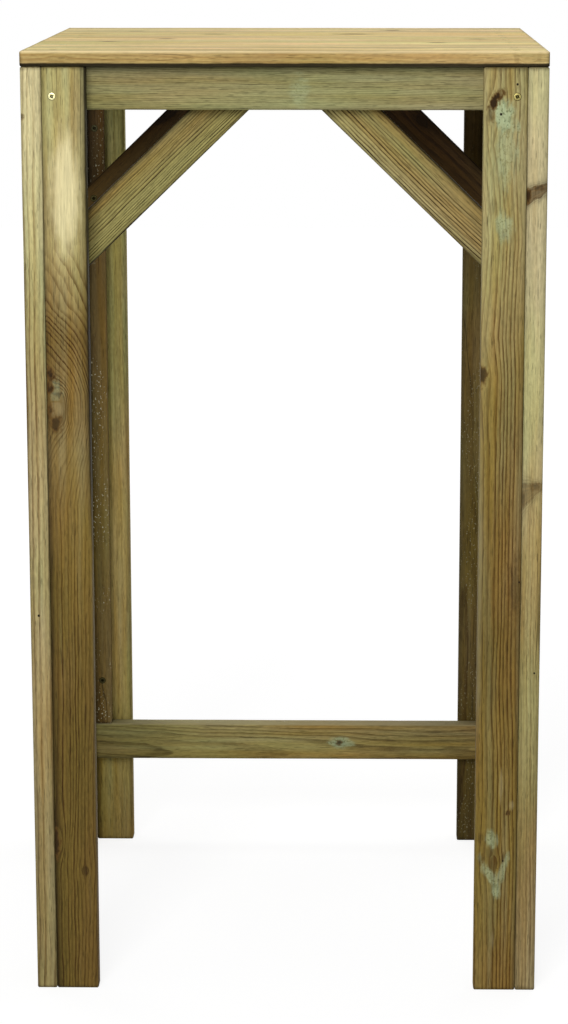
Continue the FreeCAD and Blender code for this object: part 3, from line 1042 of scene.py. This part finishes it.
    # pale specks, mineral stains, brown marks and dots
    flecks = net.smooth(texture("flecks"), 0.64, 0.69) * net.smooth(texture("dusty"), 0.43, 0.57)
    tint = net.mix(flecks * specks, tint, SPECK)
    stain_q = 1.0 - stain_depth
    blotch, drips = texture("blotch") - 0.5, texture("drips") - 0.5
    stained = net.within(stain_q + blotch * 1.3 + drips * 0.9, 0.45, 1.15)
    stained = stained * net.above(stain_strength)
    speckle = net.smooth(texture("speckle"), 0.54, 0.64)
    murky = net.smooth(texture("murky"), 0.48, 0.68)
    mint = net.mix(net.math("MAXIMUM", speckle * 0.7, murky * 0.5), MINT, MINT_DARK)
    tint = net.mix(stained * (fibre * 0.9 + 0.35), tint, mint)
    blond = net.within(stain_q + blotch * 0.5 + drips * 0.5, 0.45, 1.1)
    tint = net.mix(blond * net.above(stain_strength * -1.0), tint,
                   net.scaled(PALE[:3], fibre * 0.7 + 0.62))
    crumb = texture("crumb") - 0.5
    deep = mark_depth + blotch * 1.2 + crumb * 1.2
    tint = net.mix(net.smooth(deep, -0.1, 0.45) * mark_strength, tint,
                   net.mix(net.smooth(deep, 0.2, 0.7), MARK_RIM, MARK_CORE))
    dot_q = net.length(dot_u, dot_v)
    tint = net.mix(net.within(dot_q + crumb * 0.6, 0.7, 1.1) * dot_strength, tint, DOT)

    height = late_share * 0.4 + fibre * 0.6 + streak * 0.2 - duct * 0.5 - inside * 0.4 - check * 1.5
    rough = net.math("ADD", fibre * 0.2, 0.6) - late_share * 0.1 + cut_end * 0.1
    return net.finish(net.field("ShaderNodeBsdfPrincipled", {
        "Base Color": tint, "Roughness": rough, "Specular IOR Level": SPECULAR_LEVEL,
        "Normal": net.bump(height, GRAIN_BUMP)}))


FRESH_ZINC = (colour(222, 218, 170), colour(200, 192, 136))
AGED_ZINC = (colour(156, 146, 82), colour(120, 104, 56))
FILM_WAVES = 900.0
DULL_WAVES = 2600.0
ZINC_BUMP = 0.00005


def zinc(name, bright, rough, hollow_shade):
    """Yellow zinc: how bright it is (low for the copy in painted shade), its least roughness,
    and how dark the painted shade in its recesses and on its heads' rims is.
    """
    net = Net(bpy.data.materials.new(name))
    recess, tarnish = net.read("recess"), net.read("tarnish")
    x, y, z = net.position()
    film = net.smooth(net.noise(x * FILM_WAVES, y * FILM_WAVES, z * FILM_WAVES), 0.35, 0.65)
    dull = net.noise(x * DULL_WAVES, y * DULL_WAVES, z * DULL_WAVES, 3.0)
    tint = net.mix(tarnish, net.mix(film, *FRESH_ZINC), net.mix(film, *AGED_ZINC))
    tint = net.scaled(tint, (dull * 0.5 + 0.72) * bright * (1.0 - recess * hollow_shade))
    return net.finish(net.field("ShaderNodeBsdfPrincipled", {
        "Base Color": tint, "Roughness": net.math("ADD", dull * 0.3, rough), "Metallic": 1.0,
        "Normal": net.bump(dull, ZINC_BUMP)}))


# ---- the table
# Screws that keep the plain zinc; the others get the copy with painted shade.
LIT_SCREWS = ("top_screws", "face_board_screws", "side_board_screws")


def dress(piece, material, slot, *nodes):
    piece.data.materials.clear()
    piece.data.materials.append(material)
    for face in piece.data.polygons:
        face.use_smooth = True
    piece.data.set_sharp_from_angle(angle=SMOOTH_ANGLE)
    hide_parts(*nodes)
    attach(piece, "root")


screw_nodes = sorted(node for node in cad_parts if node.endswith("_screws"))
wooden_nodes = sorted(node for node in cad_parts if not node.endswith("_screws"))
screws = {node: screw_places(node) for node in screw_nodes}
every_screw = [place for node in screw_nodes for place in screws[node]]
materials = {name: wood(name, **tints) for name, tints in WOODS.items()}

for index, node in enumerate(wooden_nodes):
    board = Board(node)
    family = look(FAMILIES, node)
    radii = (BOARD_ROUND, BOARD_ROUND) if family != "top_wood" else (TOP_ROUND, TOP_UNDER_ROUND)
    piece = board_mesh(board, radii, index, fine=bool(look(MARKS, node) or look(STAINS, node)))
    own = [place for place in every_screw if board.holds(place[0] + place[1] * JUST_INSIDE)]
    if own:
        cut(piece, hole_cutter(own))
    write_marks(board, piece.data, index)
    dress(piece, materials[family], family, node)

lit_steel = zinc("yellow_zinc", bright=0.92, rough=0.3, hollow_shade=0.93)
# a copy with painted shade, for the screws under the top and inside the frame
shaded_steel = zinc("shaded_zinc", bright=0.17, rough=0.5, hollow_shade=0.6)
masters = {}
chooser = random.Random(SCREW_SEED)
for node in screw_nodes:
    steel = lit_steel if node in LIT_SCREWS else shaded_steel
    dress(screw_group(node, screws[node], masters, chooser), steel, "screw_steel", node)


# ---- floor, light and camera
WHITE = (1, 1, 1, 1)
FLOOR_HALF = 8.0
FLOOR_CELLS = 4
FLOOR_WAVES = 30.0
FLOOR_TINTS = (colour(238, 238, 238), colour(246, 246, 246))
FLOOR_SHADOW = colour(138, 138, 138)
FLOOR_GLOW = 0.84
FAR_GLOW = 0.14
GLOW_REACH = (0.8, 3.0)
SKY_STRENGTH = 0.28
# Lamps: (name, place, target, size, watts).
LAMPS = (
    ("key", (-0.5, -3.0, 2.0), (0.0, -0.1, 0.75), 1.2, 66),
    ("top", (0.2, 0.5, 2.7), (0.0, 0.0, 1.1), 1.0, 14),
    ("left_rim", (-1.7, 1.6, 2.0), (0.0, 0.0, 0.7), 1.4, 6),
    ("right_rim", (2.0, 1.0, 1.8), (0.0, 0.0, 0.7), 1.4, 4),
)
CAMERA_PLACE = (0.0766, -3.6706, 1.2926)
CAMERA_YAW = -0.0147
CAMERA_PITCH = 0.2079
CAMERA_LENS = 103.8
CAMERA_SHIFT = (-0.0236, 0.0056)
CAMERA_CLIP = (0.05, 60)


def floor():
    """A pale floor that is nearly white to the camera and still shows soft shadows."""
    net = Net(bpy.data.materials.new("pale_floor"))
    x, y, _ = net.position()
    mottle = net.noise(x * FLOOR_WAVES, y * FLOOR_WAVES, 0.0, 3.0)
    plain = net.field("ShaderNodeBsdfDiffuse", {"Color": net.mix(mottle, *FLOOR_TINTS)})
    faint = net.field("ShaderNodeBsdfDiffuse", {"Color": FLOOR_SHADOW})
    away = net.smooth(net.length(x, y), *GLOW_REACH)
    glow = net.field("ShaderNodeEmission", {"Color": WHITE,
                                            "Strength": away * FAR_GLOW + FLOOR_GLOW})
    lit = net.field("ShaderNodeAddShader", {0: faint, 1: glow})
    both = net.field("ShaderNodeMixShader", {0: net.seen(), 1: plain, 2: lit})
    mesh = bmesh.new()
    bmesh.ops.create_grid(mesh, x_segments=FLOOR_CELLS, y_segments=FLOOR_CELLS, size=FLOOR_HALF)
    piece = as_object(mesh, "floor")
    piece.data.materials.append(net.finish(both))


def sky():
    """Soft light from all sides, white to the camera."""
    bpy.context.scene.world = bpy.data.worlds.new("studio")
    net = Net(bpy.context.scene.world)
    dim = net.field("ShaderNodeBackground", {"Color": WHITE, "Strength": SKY_STRENGTH})
    white = net.field("ShaderNodeBackground", {"Color": WHITE})
    net.finish(net.field("ShaderNodeMixShader", {0: net.seen(), 1: dim, 2: white}),
               "ShaderNodeOutputWorld")


def lamp(name, place, target, size, watts):
    data = bpy.data.lights.new(name, "AREA")
    data.shape, data.size, data.energy = "SQUARE", size, watts
    piece = shown(name, data)
    piece.location = place
    piece.rotation_euler = (Vector(target) - Vector(place)).to_track_quat("-Z", "Y").to_euler()


def camera():
    data = bpy.data.cameras.new("camera")
    data.lens = CAMERA_LENS
    data.shift_x, data.shift_y = CAMERA_SHIFT
    data.clip_start, data.clip_end = CAMERA_CLIP
    piece = shown("camera", data)
    piece.location = CAMERA_PLACE
    ahead = Vector((math.sin(CAMERA_YAW) * math.cos(CAMERA_PITCH),
                    math.cos(CAMERA_YAW) * math.cos(CAMERA_PITCH), -math.sin(CAMERA_PITCH)))
    piece.rotation_euler = ahead.to_track_quat("-Z", "Y").to_euler()
    bpy.context.scene.camera = piece


floor()
sky()
for place in LAMPS:
    lamp(*place)
camera()
bpy.context.scene.view_settings.view_transform = "Standard"
